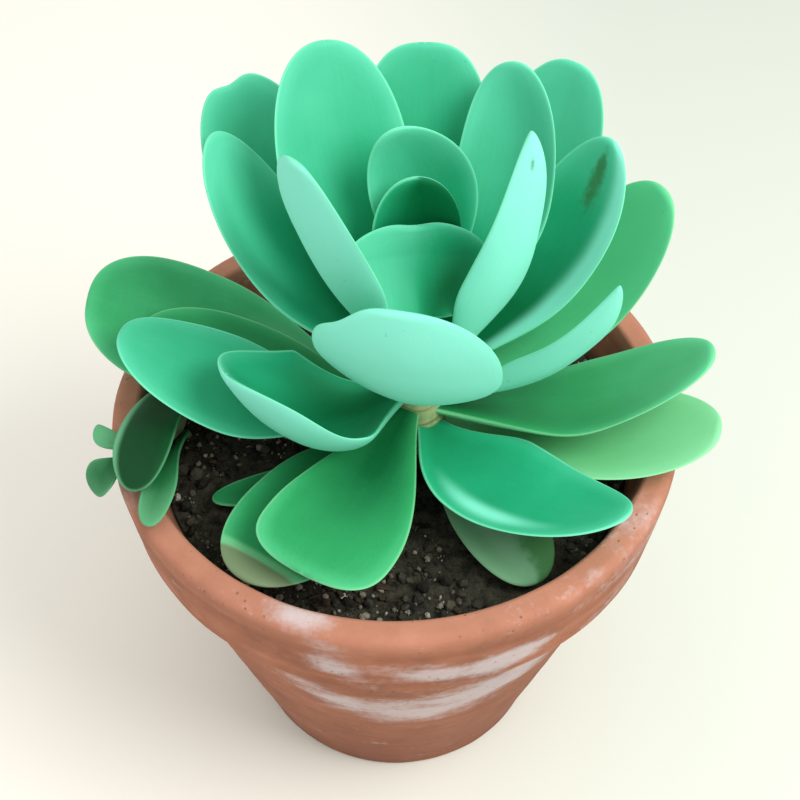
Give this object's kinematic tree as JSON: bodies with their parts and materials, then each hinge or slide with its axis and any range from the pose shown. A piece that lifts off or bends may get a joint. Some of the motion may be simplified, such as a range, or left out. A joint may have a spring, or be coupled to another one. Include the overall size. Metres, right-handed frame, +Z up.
{
  "type": "potted kalanchoe",
  "caption": "Terracotta pot of dark soil holding a leafy kalanchoe rosette with broad cupped succulent leaves and a small offset hanging over the rim.",
  "frame": {"origin": "centre of the pot's flat base, on the plane it stands on", "axes": "+Z up along the pot's axis, -Y towards the side that the picture shows, +X to the right in the picture"},
  "size_m": [0.143, 0.13, 0.1795],
  "materials": {
    "clay": "matte",
    "soil": "matte",
    "stem": "matte",
    "leaf": "satin"
  },
  "bodies": {
    "root": {"pot": "clay", "soil": "soil", "stem": "stem", "offset_stem": "stem", "leaf_back_left": "leaf", "leaf_back_middle": "leaf", "leaf_back_right": "leaf", "leaf_far_back_right": "leaf", "leaf_far_back_left": "leaf", "leaf_left_upper": "leaf", "leaf_inner_left": "leaf", "leaf_inner_right": "leaf", "leaf_right_upper": "leaf", "leaf_far_right_upper": "leaf", "leaf_right_middle": "leaf", "leaf_heart_back": "leaf", "leaf_heart": "leaf", "leaf_heart_front": "leaf", "leaf_front_upper": "leaf", "leaf_far_left": "leaf", "leaf_left_tucked": "leaf", "leaf_left_lower": "leaf", "leaf_left_front": "leaf", "leaf_front": "leaf", "leaf_front_tucked": "leaf", "leaf_right_front": "leaf", "leaf_right_lower": "leaf", "leaf_far_right_lower": "leaf", "leaf_old_right": "leaf", "leaf_old_left": "leaf", "offset_leaf_large": "leaf", "offset_leaf_rear": "leaf", "offset_leaf_outer": "leaf", "offset_leaf_front": "leaf"}
  },
  "joints": []
}
